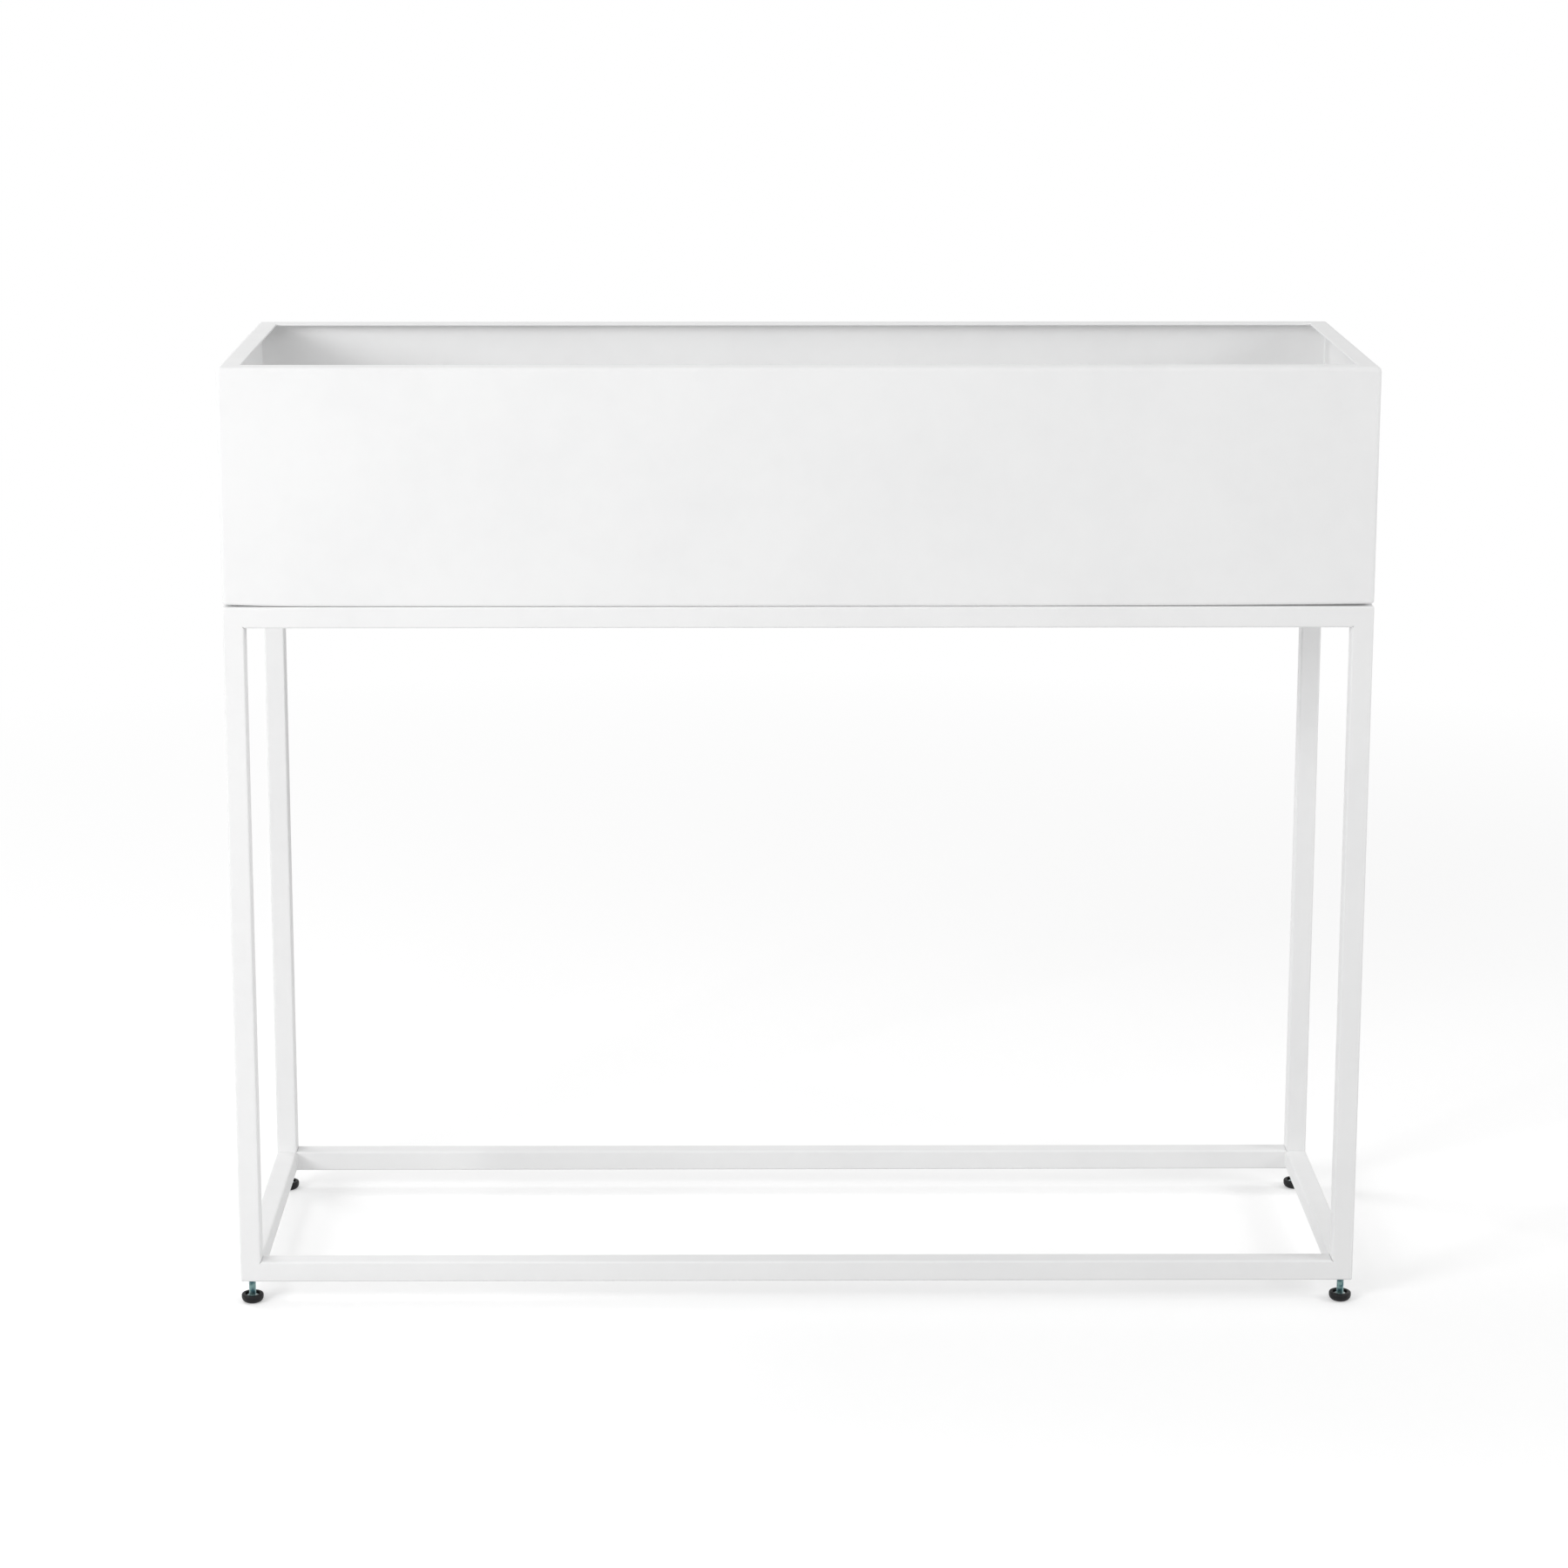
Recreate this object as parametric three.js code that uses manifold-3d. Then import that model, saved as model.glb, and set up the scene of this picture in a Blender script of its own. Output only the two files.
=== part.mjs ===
// Raised planter: a folded sheet-steel box on a slim welded tube stand, with four screw-in
// levelling feet. Millimetres, +Z up, +X along the length, the front faces -Y, the origin is
// on the floor under the middle of the planter.

import * as THREE from 'three';
import { mergeVertices } from 'three/addons/utils/BufferGeometryUtils.js';
import Module from 'manifold-3d';

// ---------------------------------------------------------------- driving dimensions

// Box, folded from sheet
const BOX_LENGTH = 800;
const BOX_DEPTH = 250;
const BOX_HEIGHT = 166;
const SHEET = 1.5;
const RIM_WIDTH = 15; // flat flange folded inwards round the top
const FLOOR_FLANGE_WIDTH = 15; // flange folded inwards round the bottom, carries the floor
const RIM_FOLD_INNER_RADIUS = 2;
const FLOOR_FOLD_INNER_RADIUS = 1;
const CORNER_RADIUS = 3; // upright corners, welded and ground round
const FLOOR_PLAY = 0.3; // between the floor plate and the folds round it

// Stand, welded from square tube
const STAND_HEIGHT = 495;
const TUBE = 15;
const TUBE_WALL = 1.2;
const TUBE_RADIUS = 1.5; // outer corner radius of the tube
const SHADOW_GAP = 1.5; // open line between the stand and the box

// Fixings that hold the box on the stand
const SCREW_RADIUS = 2.5;
const SCREW_LENGTH = 24; // under the head
const SCREW_HEAD_RADIUS = 4.7;
const SCREW_HEAD_HEIGHT = 2.7;
const SCREW_INSET = 60; // from the front and back of the planter
const RIVET_NUT_RADIUS = 3.8;
const RIVET_NUT_LENGTH = 13; // above its flange
const RIVET_NUT_FLANGE_RADIUS = 5.4;
const RIVET_NUT_CAP = 1.2; // closed end
const THREAD_CHAMFER = 0.6; // at the tip of every thread

// Levelling feet
const FOOT_REACH = 17.2; // floor to the underside of the stand
const BASE_RADIUS = 7.9;
const BASE_FLAT_RADIUS = 5.2; // part of the base that touches the floor
const BASE_HEIGHT = 6.2;
const BASE_EDGE_RADIUS = 1.2; // round of the top edge
const BASE_WIDEST_SHARE = 0.6; // of the height, where the flare ends
const BASE_FLOOR = 0.9; // plastic under the stud's head
const POCKET_HEIGHT = 1.3; // undercut that holds the stud's head
const LIP_HEIGHT = 0.5; // ring that snaps over the stud's head
const STUD_RADIUS = 2.5;
const STUD_LENGTH = 30; // thread above the hexagon
const STUD_HEAD_RADIUS = 3.4;
const STUD_NECK_RADIUS = 2.2;
const HEXAGON_ACROSS = 8;
const HEXAGON_HEIGHT = 1.8;
const WELD_NUT_RADIUS = 5;
const WELD_NUT_HEIGHT = 10;

// Fits
const CLEARANCE = 0.3; // round every piece that passes through or turns in another

// Facets
const FOLD_FACETS = 3; // half as many as there are facets on a quarter turn
const TUBE_CORNER_FACETS = 2; // the same
const CORNER_FACETS = 5; // an odd count, so that the mitre crosses the middle of a facet
const ROUND_FACETS = 20;
const BASE_FACETS = 28;
const FLARE_FACETS = 5; // in height, on the base's flared underside
const EDGE_FACETS = 3; // in height, on the base's rounded top edge
const DOME_FACETS = 4; // in height, on a screw's head
const CUT_MARGIN = 1; // how far a cutting tool runs past what it cuts

// ---------------------------------------------------------------- derived sizes

const RIM_FOLD_RADIUS = RIM_FOLD_INNER_RADIUS + SHEET;
const FLOOR_FOLD_RADIUS = FLOOR_FOLD_INNER_RADIUS + SHEET;
const STAND_TOP = FOOT_REACH + STAND_HEIGHT;
const BOX_BOTTOM = STAND_TOP + SHADOW_GAP;
const TUBE_CENTRE_X = (BOX_LENGTH - TUBE) / 2;
const TUBE_CENTRE_Y = (BOX_DEPTH - TUBE) / 2;
const SCREW_Y = BOX_DEPTH / 2 - SCREW_INSET;
const FLOOR_THICKNESS = SHEET;
const LIP_TOP = BASE_FLOOR + POCKET_HEIGHT + LIP_HEIGHT;
const HEXAGON_BOTTOM = LIP_TOP + CLEARANCE;
const HEXAGON_TOP = HEXAGON_BOTTOM + HEXAGON_HEIGHT;
const HEXAGON_RADIUS = HEXAGON_ACROSS / Math.sqrt(3); // over its corners
const HOLLOW_RADIUS = HEXAGON_RADIUS + 2 * CLEARANCE;
const QUARTER = Math.PI / 2;

// ---------------------------------------------------------------- materials

const POWDER_COAT = new THREE.MeshStandardMaterial({ color: 0xefefed, roughness: 0.5, metalness: 0 });
const ZINC = new THREE.MeshStandardMaterial({ color: 0xa9b4b8, roughness: 0.35, metalness: 1 });
const BLACK_PLASTIC = new THREE.MeshStandardMaterial({ color: 0x131314, roughness: 0.5, metalness: 0 });

// ---------------------------------------------------------------- joining and cutting

const wasm = await Module();
wasm.setup();

function toSolid(geometry) {
  const bare = geometry.index ? geometry.toNonIndexed() : geometry.clone();
  bare.deleteAttribute('normal');
  bare.deleteAttribute('uv');
  const merged = mergeVertices(bare, 1e-4);
  return new wasm.Manifold(new wasm.Mesh({
    numProp: 3,
    vertProperties: new Float32Array(merged.attributes.position.array),
    triVerts: new Uint32Array(merged.index.array),
  }));
}

function toGeometry(solid) {
  const mesh = solid.getMesh();
  const geometry = new THREE.BufferGeometry();
  geometry.setAttribute('position', new THREE.BufferAttribute(new Float32Array(mesh.vertProperties), 3));
  geometry.setIndex(new THREE.BufferAttribute(new Uint32Array(mesh.triVerts), 1));
  geometry.computeVertexNormals();
  return geometry;
}

function cut(geometry, tools) {
  return toGeometry(tools.reduce((solid, tool) => solid.subtract(toSolid(tool)), toSolid(geometry)));
}

function join(geometry, other) {
  return toGeometry(toSolid(geometry).add(toSolid(other)));
}

// ---------------------------------------------------------------- shared forms

// A body turned about Z from a list of [radius, height] points that starts and ends on the axis.
function turned(points, facets) {
  const profile = points.map(([radius, height]) => new THREE.Vector2(radius, height));
  const geometry = new THREE.LatheGeometry(profile, facets);
  geometry.rotateX(QUARTER);
  return toGeometry(toSolid(geometry));
}

// Points of an arc in a turned profile, from one angle to another, about [radius, height].
function arcPoints([centreRadius, centreHeight], arcRadius, fromAngle, toAngle, steps) {
  return Array.from({ length: steps + 1 }, (_, step) => {
    const angle = fromAngle + ((toAngle - fromAngle) * step) / steps;
    return [centreRadius + arcRadius * Math.cos(angle), centreHeight + arcRadius * Math.sin(angle)];
  });
}

// An upright round cutter through (x, y) from one height to another.
function drill(radius, x, y, bottom, top) {
  const geometry = new THREE.CylinderGeometry(radius, radius, top - bottom, ROUND_FACETS);
  geometry.rotateX(QUARTER);
  geometry.translate(x, y, (bottom + top) / 2);
  return geometry;
}

function roundedSquare(path, size, radius) {
  const centre = size / 2 - radius;
  path.absarc(centre, centre, radius, 0, QUARTER, false);
  path.absarc(-centre, centre, radius, QUARTER, 2 * QUARTER, false);
  path.absarc(-centre, -centre, radius, 2 * QUARTER, 3 * QUARTER, false);
  path.absarc(centre, -centre, radius, 3 * QUARTER, 4 * QUARTER, false);
  return path;
}

// Square tube along X, centred on the origin. Its hollow is open at both ends.
function squareTube(length) {
  const section = roundedSquare(new THREE.Shape(), TUBE, TUBE_RADIUS);
  const innerRadius = Math.max(TUBE_RADIUS - TUBE_WALL, TUBE_WALL / 4);
  section.holes.push(roundedSquare(new THREE.Path(), TUBE - 2 * TUBE_WALL, innerRadius));
  return prismAlongX(section, length, TUBE_CORNER_FACETS);
}

// A section drawn in (Y, Z) and run along X, centred on x = 0.
function prismAlongX(section, length, arcFacets) {
  const options = { depth: length, bevelEnabled: false, curveSegments: arcFacets };
  const geometry = new THREE.ExtrudeGeometry(section, options);
  geometry.translate(0, 0, -length / 2);
  const turn = new THREE.Matrix4().makeBasis(
    new THREE.Vector3(0, 1, 0),
    new THREE.Vector3(0, 0, 1),
    new THREE.Vector3(1, 0, 0),
  );
  return geometry.applyMatrix4(turn);
}

// Shortens both ends of a prism along X by what setBack gives for each point: a mitre.
function mitreEnds(geometry, length, setBack) {
  const position = geometry.attributes.position;
  for (let i = 0; i < position.count; i += 1) {
    const end = Math.sign(position.getX(i)) * (length / 2 - setBack(position.getY(i), position.getZ(i)));
    position.setX(i, end);
  }
  return geometry;
}

function mesh(name, geometry, material) {
  const part = new THREE.Mesh(geometry, material);
  part.name = name;
  return part;
}

function placed(part, x, y, z) {
  part.position.set(x, y, z);
  return part;
}

// The four places that repeat at the corners of the planter.
function atCorners(make) {
  const sides = [['left', -1], ['right', 1]];
  const ends = [['front', -1], ['back', 1]];
  return ends.flatMap(([end, signY]) => sides.map(([side, signX]) => make(`${end}_${side}`, signX, signY)));
}

// ---------------------------------------------------------------- stand

// One member of an upright ring, lying on top of it: its outer side is +Z, its ends are mitred.
function ringMember(length) {
  return mitreEnds(squareTube(length), length, (y, z) => TUBE / 2 - z);
}

function studHoles(length) {
  const underside = TUBE / 2 + CUT_MARGIN;
  const wallTop = TUBE / 2 - TUBE_WALL - CUT_MARGIN;
  const holeRadius = STUD_RADIUS + CLEARANCE;
  return [-1, 1].map((end) => drill(holeRadius, (end * (length - TUBE)) / 2, 0, wallTop, underside));
}

// Front or back of the stand: top rail, leg, bottom rail and leg, mitred into a ring.
function standRing(end, signY) {
  const ring = new THREE.Group();
  const offsetX = (BOX_LENGTH - TUBE) / 2;
  const offsetZ = (STAND_HEIGHT - TUBE) / 2;
  const topRail = mesh(`stand_${end}_top_rail`, ringMember(BOX_LENGTH), POWDER_COAT);
  const bottomRail = mesh(
    `stand_${end}_bottom_rail`,
    cut(ringMember(BOX_LENGTH), studHoles(BOX_LENGTH)),
    POWDER_COAT,
  );
  const rightLeg = mesh(`leg_${end}_right`, ringMember(STAND_HEIGHT), POWDER_COAT);
  const leftLeg = mesh(`leg_${end}_left`, ringMember(STAND_HEIGHT), POWDER_COAT);
  rightLeg.rotation.y = QUARTER;
  bottomRail.rotation.y = 2 * QUARTER;
  leftLeg.rotation.y = -QUARTER;
  ring.add(placed(topRail, 0, 0, offsetZ), placed(rightLeg, offsetX, 0, 0));
  ring.add(placed(bottomRail, 0, 0, -offsetZ), placed(leftLeg, -offsetX, 0, 0));
  return placed(ring, 0, signY * TUBE_CENTRE_Y, FOOT_REACH + STAND_HEIGHT / 2);
}

// Rail between the front and back rings. The top ones are drilled for the box's screws.
function sideRail(name, signX, centreZ, holeCentres) {
  const length = BOX_DEPTH - 2 * TUBE;
  const reach = TUBE / 2 + CUT_MARGIN;
  const holes = holeCentres.map((x) => drill(SCREW_RADIUS + CLEARANCE, x, 0, -reach, reach));
  const rail = mesh(name, cut(squareTube(length), holes), POWDER_COAT);
  rail.rotation.z = QUARTER;
  return placed(rail, signX * TUBE_CENTRE_X, 0, centreZ);
}

function stand() {
  const group = new THREE.Group();
  const topZ = STAND_TOP - TUBE / 2;
  const bottomZ = FOOT_REACH + TUBE / 2;
  group.add(standRing('front', -1), standRing('back', 1));
  for (const [side, signX] of [['left', -1], ['right', 1]]) {
    group.add(sideRail(`stand_${side}_top_rail`, signX, topZ, [-SCREW_Y, SCREW_Y]));
    group.add(sideRail(`stand_${side}_bottom_rail`, signX, bottomZ, []));
  }
  return group;
}

// ---------------------------------------------------------------- box

// Section of a wall in (distance in from the outside, height): a sheet with a fold at the
// bottom for the floor and a fold at the top for the rim.
function wallSection() {
  const section = new THREE.Shape();
  const rimFold = [RIM_FOLD_RADIUS, BOX_HEIGHT - RIM_FOLD_RADIUS];
  const floorFold = [FLOOR_FOLD_RADIUS, FLOOR_FOLD_RADIUS];
  section.moveTo(RIM_WIDTH, BOX_HEIGHT - SHEET);
  section.lineTo(RIM_WIDTH, BOX_HEIGHT);
  section.absarc(...rimFold, RIM_FOLD_RADIUS, QUARTER, 2 * QUARTER, false);
  section.absarc(...floorFold, FLOOR_FOLD_RADIUS, 2 * QUARTER, 3 * QUARTER, false);
  section.lineTo(FLOOR_FLANGE_WIDTH, 0);
  section.lineTo(FLOOR_FLANGE_WIDTH, SHEET);
  section.absarc(...floorFold, FLOOR_FOLD_INNER_RADIUS, 3 * QUARTER, 2 * QUARTER, true);
  section.absarc(...rimFold, RIM_FOLD_INNER_RADIUS, 2 * QUARTER, QUARTER, true);
  section.closePath();
  return section;
}

// Cutter that rounds the upright edge at x = edgeX on the outside of a wall (y = 0).
function cornerRounder(edgeX) {
  const outline = new THREE.Shape();
  outline.moveTo(-CUT_MARGIN, -CUT_MARGIN);
  outline.lineTo(CORNER_RADIUS, -CUT_MARGIN);
  for (let step = 0; step <= CORNER_FACETS; step += 1) {
    const angle = 3 * QUARTER - (QUARTER * step) / CORNER_FACETS;
    outline.lineTo(CORNER_RADIUS * (1 + Math.cos(angle)), CORNER_RADIUS * (1 + Math.sin(angle)));
  }
  outline.lineTo(-CUT_MARGIN, CORNER_RADIUS);
  outline.closePath();
  const options = { depth: BOX_HEIGHT + 2 * CUT_MARGIN, bevelEnabled: false };
  const tool = new THREE.ExtrudeGeometry(outline, options);
  if (edgeX > 0) {
    tool.rotateZ(QUARTER);
  }
  tool.translate(edgeX, 0, -CUT_MARGIN);
  return tool;
}

// One wall: outside at y = -outside, running along X. A turn about Z takes it to its side.
function wall(name, turns, length, outside, holeCentres) {
  const folded = mitreEnds(prismAlongX(wallSection(), length, FOLD_FACETS), length, (y) => y);
  const holeRadius = RIVET_NUT_RADIUS + CLEARANCE;
  const holes = holeCentres.map((x) => drill(holeRadius, x, TUBE / 2, -CUT_MARGIN, SHEET + CUT_MARGIN));
  const geometry = cut(folded, [cornerRounder(-length / 2), cornerRounder(length / 2), ...holes]);
  geometry.translate(0, -outside, 0);
  const part = mesh(name, geometry, POWDER_COAT);
  part.rotation.z = turns * QUARTER;
  return placed(part, 0, 0, BOX_BOTTOM);
}

// Plate that lies on the bottom flanges, with holes for the rivet nuts.
function floorPlate() {
  const edge = FLOOR_FOLD_RADIUS + FLOOR_PLAY;
  const halfLength = BOX_LENGTH / 2 - edge;
  const halfDepth = BOX_DEPTH / 2 - edge;
  const outline = new THREE.Shape();
  outline.moveTo(-halfLength, -halfDepth);
  outline.lineTo(halfLength, -halfDepth);
  outline.lineTo(halfLength, halfDepth);
  outline.lineTo(-halfLength, halfDepth);
  outline.closePath();
  atCorners((_, signX, signY) => {
    const hole = new THREE.Path();
    hole.absarc(signX * TUBE_CENTRE_X, signY * SCREW_Y, RIVET_NUT_RADIUS + CLEARANCE, 0, 4 * QUARTER, true);
    return outline.holes.push(hole);
  });
  const options = { depth: FLOOR_THICKNESS, bevelEnabled: false, curveSegments: ROUND_FACETS / 2 };
  const plate = mesh('box_floor', new THREE.ExtrudeGeometry(outline, options), POWDER_COAT);
  return placed(plate, 0, 0, BOX_BOTTOM + SHEET);
}

function box() {
  const group = new THREE.Group();
  group.add(wall('box_front_wall', 0, BOX_LENGTH, BOX_DEPTH / 2, []));
  group.add(wall('box_right_wall', 1, BOX_DEPTH, BOX_LENGTH / 2, [-SCREW_Y, SCREW_Y]));
  group.add(wall('box_back_wall', 2, BOX_LENGTH, BOX_DEPTH / 2, []));
  group.add(wall('box_left_wall', 3, BOX_DEPTH, BOX_LENGTH / 2, [-SCREW_Y, SCREW_Y]));
  group.add(floorPlate());
  return group;
}

// ---------------------------------------------------------------- fixings

// Closed-end rivet nut: its flange lies between box and stand and sets the shadow gap.
function rivetNut() {
  const boreRadius = SCREW_RADIUS + CLEARANCE;
  return turned([
    [0, RIVET_NUT_LENGTH - RIVET_NUT_CAP],
    [boreRadius, RIVET_NUT_LENGTH - RIVET_NUT_CAP],
    [boreRadius, -SHADOW_GAP],
    [RIVET_NUT_FLANGE_RADIUS, -SHADOW_GAP],
    [RIVET_NUT_FLANGE_RADIUS, 0],
    [RIVET_NUT_RADIUS, 0],
    [RIVET_NUT_RADIUS, RIVET_NUT_LENGTH],
    [0, RIVET_NUT_LENGTH],
  ], ROUND_FACETS);
}

// Button-head screw, pointing up, with the seat of its head at height 0.
function boxScrew() {
  const dome = arcPoints([0, 0], 1, -QUARTER, 0, DOME_FACETS);
  const head = dome.map(([across, down]) => [across * SCREW_HEAD_RADIUS, down * SCREW_HEAD_HEIGHT]);
  return turned([
    ...head,
    [SCREW_RADIUS, 0],
    [SCREW_RADIUS, SCREW_LENGTH - THREAD_CHAMFER],
    [SCREW_RADIUS - THREAD_CHAMFER, SCREW_LENGTH],
    [0, SCREW_LENGTH],
  ], ROUND_FACETS);
}

function fixings() {
  const group = new THREE.Group();
  const railUnderside = STAND_TOP - TUBE;
  atCorners((corner, signX, signY) => {
    const x = signX * TUBE_CENTRE_X;
    const y = signY * SCREW_Y;
    const nut = placed(mesh(`rivet_nut_${corner}`, rivetNut(), ZINC), x, y, BOX_BOTTOM);
    const screw = placed(mesh(`box_screw_${corner}`, boxScrew(), ZINC), x, y, railUnderside);
    return group.add(nut, screw);
  });
  return group;
}

// ---------------------------------------------------------------- levelling feet

// Nut welded inside the bottom corner of the stand, over the hole for the stud.
function weldNut() {
  const boreRadius = STUD_RADIUS + CLEARANCE;
  const blank = drill(WELD_NUT_RADIUS, 0, 0, 0, WELD_NUT_HEIGHT);
  return cut(blank, [drill(boreRadius, 0, 0, -CUT_MARGIN, WELD_NUT_HEIGHT + CUT_MARGIN)]);
}

// Plastic base, turned: a flat that stands on the floor, a flared underside, and a hollow in
// the top with an undercut pocket that the stud's head snaps into.
function footBase() {
  const widest = BASE_HEIGHT * BASE_WIDEST_SHARE;
  const flare = BASE_RADIUS - BASE_FLAT_RADIUS;
  const flareRadius = (flare ** 2 + widest ** 2) / (2 * flare);
  const flareCentre = [BASE_RADIUS - flareRadius, widest];
  const flatAngle = Math.atan2(-widest, BASE_FLAT_RADIUS - flareCentre[0]);
  const edgeCentre = [BASE_RADIUS - BASE_EDGE_RADIUS, BASE_HEIGHT - BASE_EDGE_RADIUS];
  const lipRadius = STUD_NECK_RADIUS + CLEARANCE;
  const pocketRadius = STUD_HEAD_RADIUS + CLEARANCE;
  const pocketTop = BASE_FLOOR + POCKET_HEIGHT;
  return turned([
    [0, 0],
    ...arcPoints(flareCentre, flareRadius, flatAngle, 0, FLARE_FACETS),
    ...arcPoints(edgeCentre, BASE_EDGE_RADIUS, 0, QUARTER, EDGE_FACETS),
    [HOLLOW_RADIUS, BASE_HEIGHT],
    [HOLLOW_RADIUS, LIP_TOP],
    [lipRadius, LIP_TOP],
    [lipRadius, pocketTop],
    [pocketRadius, pocketTop],
    [pocketRadius, BASE_FLOOR],
    [0, BASE_FLOOR],
  ], BASE_FACETS);
}

// Stud: head in the base's pocket, neck through its lip, hexagon for the wrench, thread.
function footStud() {
  const headBottom = BASE_FLOOR + CLEARANCE;
  const headTop = BASE_FLOOR + POCKET_HEIGHT - CLEARANCE;
  const hexagonMiddle = HEXAGON_BOTTOM + HEXAGON_HEIGHT / 2;
  const threadTop = HEXAGON_TOP + STUD_LENGTH;
  const shaft = turned([
    [0, headBottom],
    [STUD_HEAD_RADIUS, headBottom],
    [STUD_HEAD_RADIUS, headTop],
    [STUD_NECK_RADIUS, headTop],
    [STUD_NECK_RADIUS, hexagonMiddle],
    [STUD_RADIUS, hexagonMiddle],
    [STUD_RADIUS, threadTop - THREAD_CHAMFER],
    [STUD_RADIUS - THREAD_CHAMFER, threadTop],
    [0, threadTop],
  ], ROUND_FACETS);
  const hexagon = new THREE.CylinderGeometry(HEXAGON_RADIUS, HEXAGON_RADIUS, HEXAGON_HEIGHT, 6);
  hexagon.rotateX(QUARTER);
  hexagon.translate(0, 0, hexagonMiddle);
  return join(shaft, hexagon);
}

function feet() {
  const group = new THREE.Group();
  atCorners((corner, signX, signY) => {
    const x = signX * TUBE_CENTRE_X;
    const y = signY * TUBE_CENTRE_Y;
    group.add(placed(mesh(`weld_nut_${corner}`, weldNut(), ZINC), x, y, FOOT_REACH + TUBE_WALL));
    group.add(placed(mesh(`foot_base_${corner}`, footBase(), BLACK_PLASTIC), x, y, 0));
    return group.add(placed(mesh(`foot_stud_${corner}`, footStud(), ZINC), x, y, 0));
  });
  return group;
}

// ---------------------------------------------------------------- planter

const planter = new THREE.Group();
planter.add(stand(), box(), fixings(), feet());

export default planter;
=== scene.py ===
"""Looks of a raised planter: a folded sheet box on a slim welded tube stand with levelling feet.

Metres, +Z up, +X along the planter, the front faces -Y, the floor is at z = 0. The shapes follow
the CAD nodes that they stand for, and the finishes are powder coat, zinc plate and black plastic.
"""
import math

import bmesh
import bpy
from bpy.props import FloatProperty, FloatVectorProperty, IntProperty, PointerProperty
from mathutils import Euler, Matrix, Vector


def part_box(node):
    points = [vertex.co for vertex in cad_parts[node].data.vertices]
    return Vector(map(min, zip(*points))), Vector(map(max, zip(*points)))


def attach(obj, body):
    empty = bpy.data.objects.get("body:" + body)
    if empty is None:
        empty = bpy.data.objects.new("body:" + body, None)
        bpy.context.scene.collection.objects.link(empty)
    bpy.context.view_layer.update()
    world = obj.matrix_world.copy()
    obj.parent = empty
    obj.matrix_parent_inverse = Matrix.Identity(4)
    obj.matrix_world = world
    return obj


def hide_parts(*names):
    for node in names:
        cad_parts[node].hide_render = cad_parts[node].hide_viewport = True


bl_info = {
    "name": "Raised Planter",
    "version": (1, 0, 0),
    "blender": (4, 5, 0),
    "location": "View3D > Sidebar > Planter",
    "description": "Builds the looks of a raised planter and its stage",
    "category": "Object",
}

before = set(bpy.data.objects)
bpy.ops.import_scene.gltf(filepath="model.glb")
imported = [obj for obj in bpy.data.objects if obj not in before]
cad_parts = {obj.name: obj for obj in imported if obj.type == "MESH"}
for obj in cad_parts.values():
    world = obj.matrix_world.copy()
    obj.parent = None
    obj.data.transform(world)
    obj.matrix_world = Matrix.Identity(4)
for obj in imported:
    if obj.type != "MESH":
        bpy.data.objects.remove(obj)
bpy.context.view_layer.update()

CORNERS = ("front_left", "front_right", "back_left", "back_right")
WALLS = tuple(f"box_{side}_wall" for side in ("front", "right", "back", "left"))
END_RAILS = {
    end: tuple(f"stand_{end}_{level}_rail" for level in ("top", "bottom"))
    + tuple(f"leg_{end}_{side}" for side in ("left", "right"))
    for end in ("front", "back")
}
SIDE_RAILS = tuple(
    f"stand_{side}_{level}_rail" for side in ("left", "right") for level in ("top", "bottom")
)

# The long walls sag soon after the left end and more slowly from the right end.
SAG_LEFT = 16.0
SAG_RIGHT = 3.5
SAG_STEPS = 32

# Facets round the turned and threaded pieces.
STUD_FACETS = 48
THREAD_FACETS = 36
HEXAGON_FACETS = 96
SCREW_FACETS = 60
NUT_FACETS = 48
BEAD_FACETS = 16

# Steps round the upright corners of the box, its folds outside and inside, and its cut edges.
BOX_STEPS = 5
FOLD_STEPS = 8
INNER_FOLD_STEPS = 5
EDGE_STEPS = 3

# Steps round the flank of a foot's base, its top edge and its other edges.
FLANK_STEPS = 12
TOP_STEPS = 6
SOFT_STEPS = 3

# Steps round the corners of the tubes and of their rings. The middle one holds the open root.
TUBE_STEPS = 4

# Angles in degrees between faces that meet in a sharp edge.
SHARP_SHEET = 38.0
SHARP_METAL = 30.0
SHARP_WELD = 60.0

# Shares of the thread's pitch: its depth, the depth of the core under it, and its section as
# (rise, reach) from root to root.
THREAD_DEPTH = 0.61
CORE_DEPTH = 0.62
THREAD_SECTION = ((0.0, 1.0), (0.06, 1.0), (0.44, 0.0), (0.62, 0.0), (0.94, 1.0))

# The hexagon's chamfer: its circle as a share of the width across flats, and its slope in degrees.
CHAMFER_CIRCLE = 0.47
CHAMFER_SLOPE = 28

# A foot's base: its widest place as a share of its height, and where its flank leaves the sole.
WIDEST = 0.6
FLANK_START = 0.96

# Weld beads: rings in a ripple, and as shares of the radius the height of a ripple, the thinnest
# end and how much the radius would grow along the whole bead. It stops at the full radius.
RIPPLE_RINGS = 6
RIPPLE_HEIGHT = 0.07
BEAD_END = 0.35
BEAD_RISE = 4

# Where a bead's middle lies, in radii: under the outer face, off the joint towards the ring and over
# the underside.
BEAD_SUNK = 0.7
BEAD_GROOVE = 0.35
BEAD_UNDER = 0.5

# The open root inside the stand's corners fades out over 1 / ROOT_FADE of the tube's width.
ROOT_FADE = 4

# A screw's head: the rim of its socket as a share of the socket's width, and the arc of its dome as
# (first angle, last angle, steps).
SOCKET_RIM = 0.62
HEAD_ARC = (-60, -6, 8)

# Heights of the five rings of a rivet nut's upset collar, and steps round its closed end.
COLLAR_HEIGHTS = (0.0001, 0.0006, 0.0012, 0.0021, 0.0028)
DOME_STEPS = 5

# Width of the camera's sensor in millimetres.
SENSOR = 36.0

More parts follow.
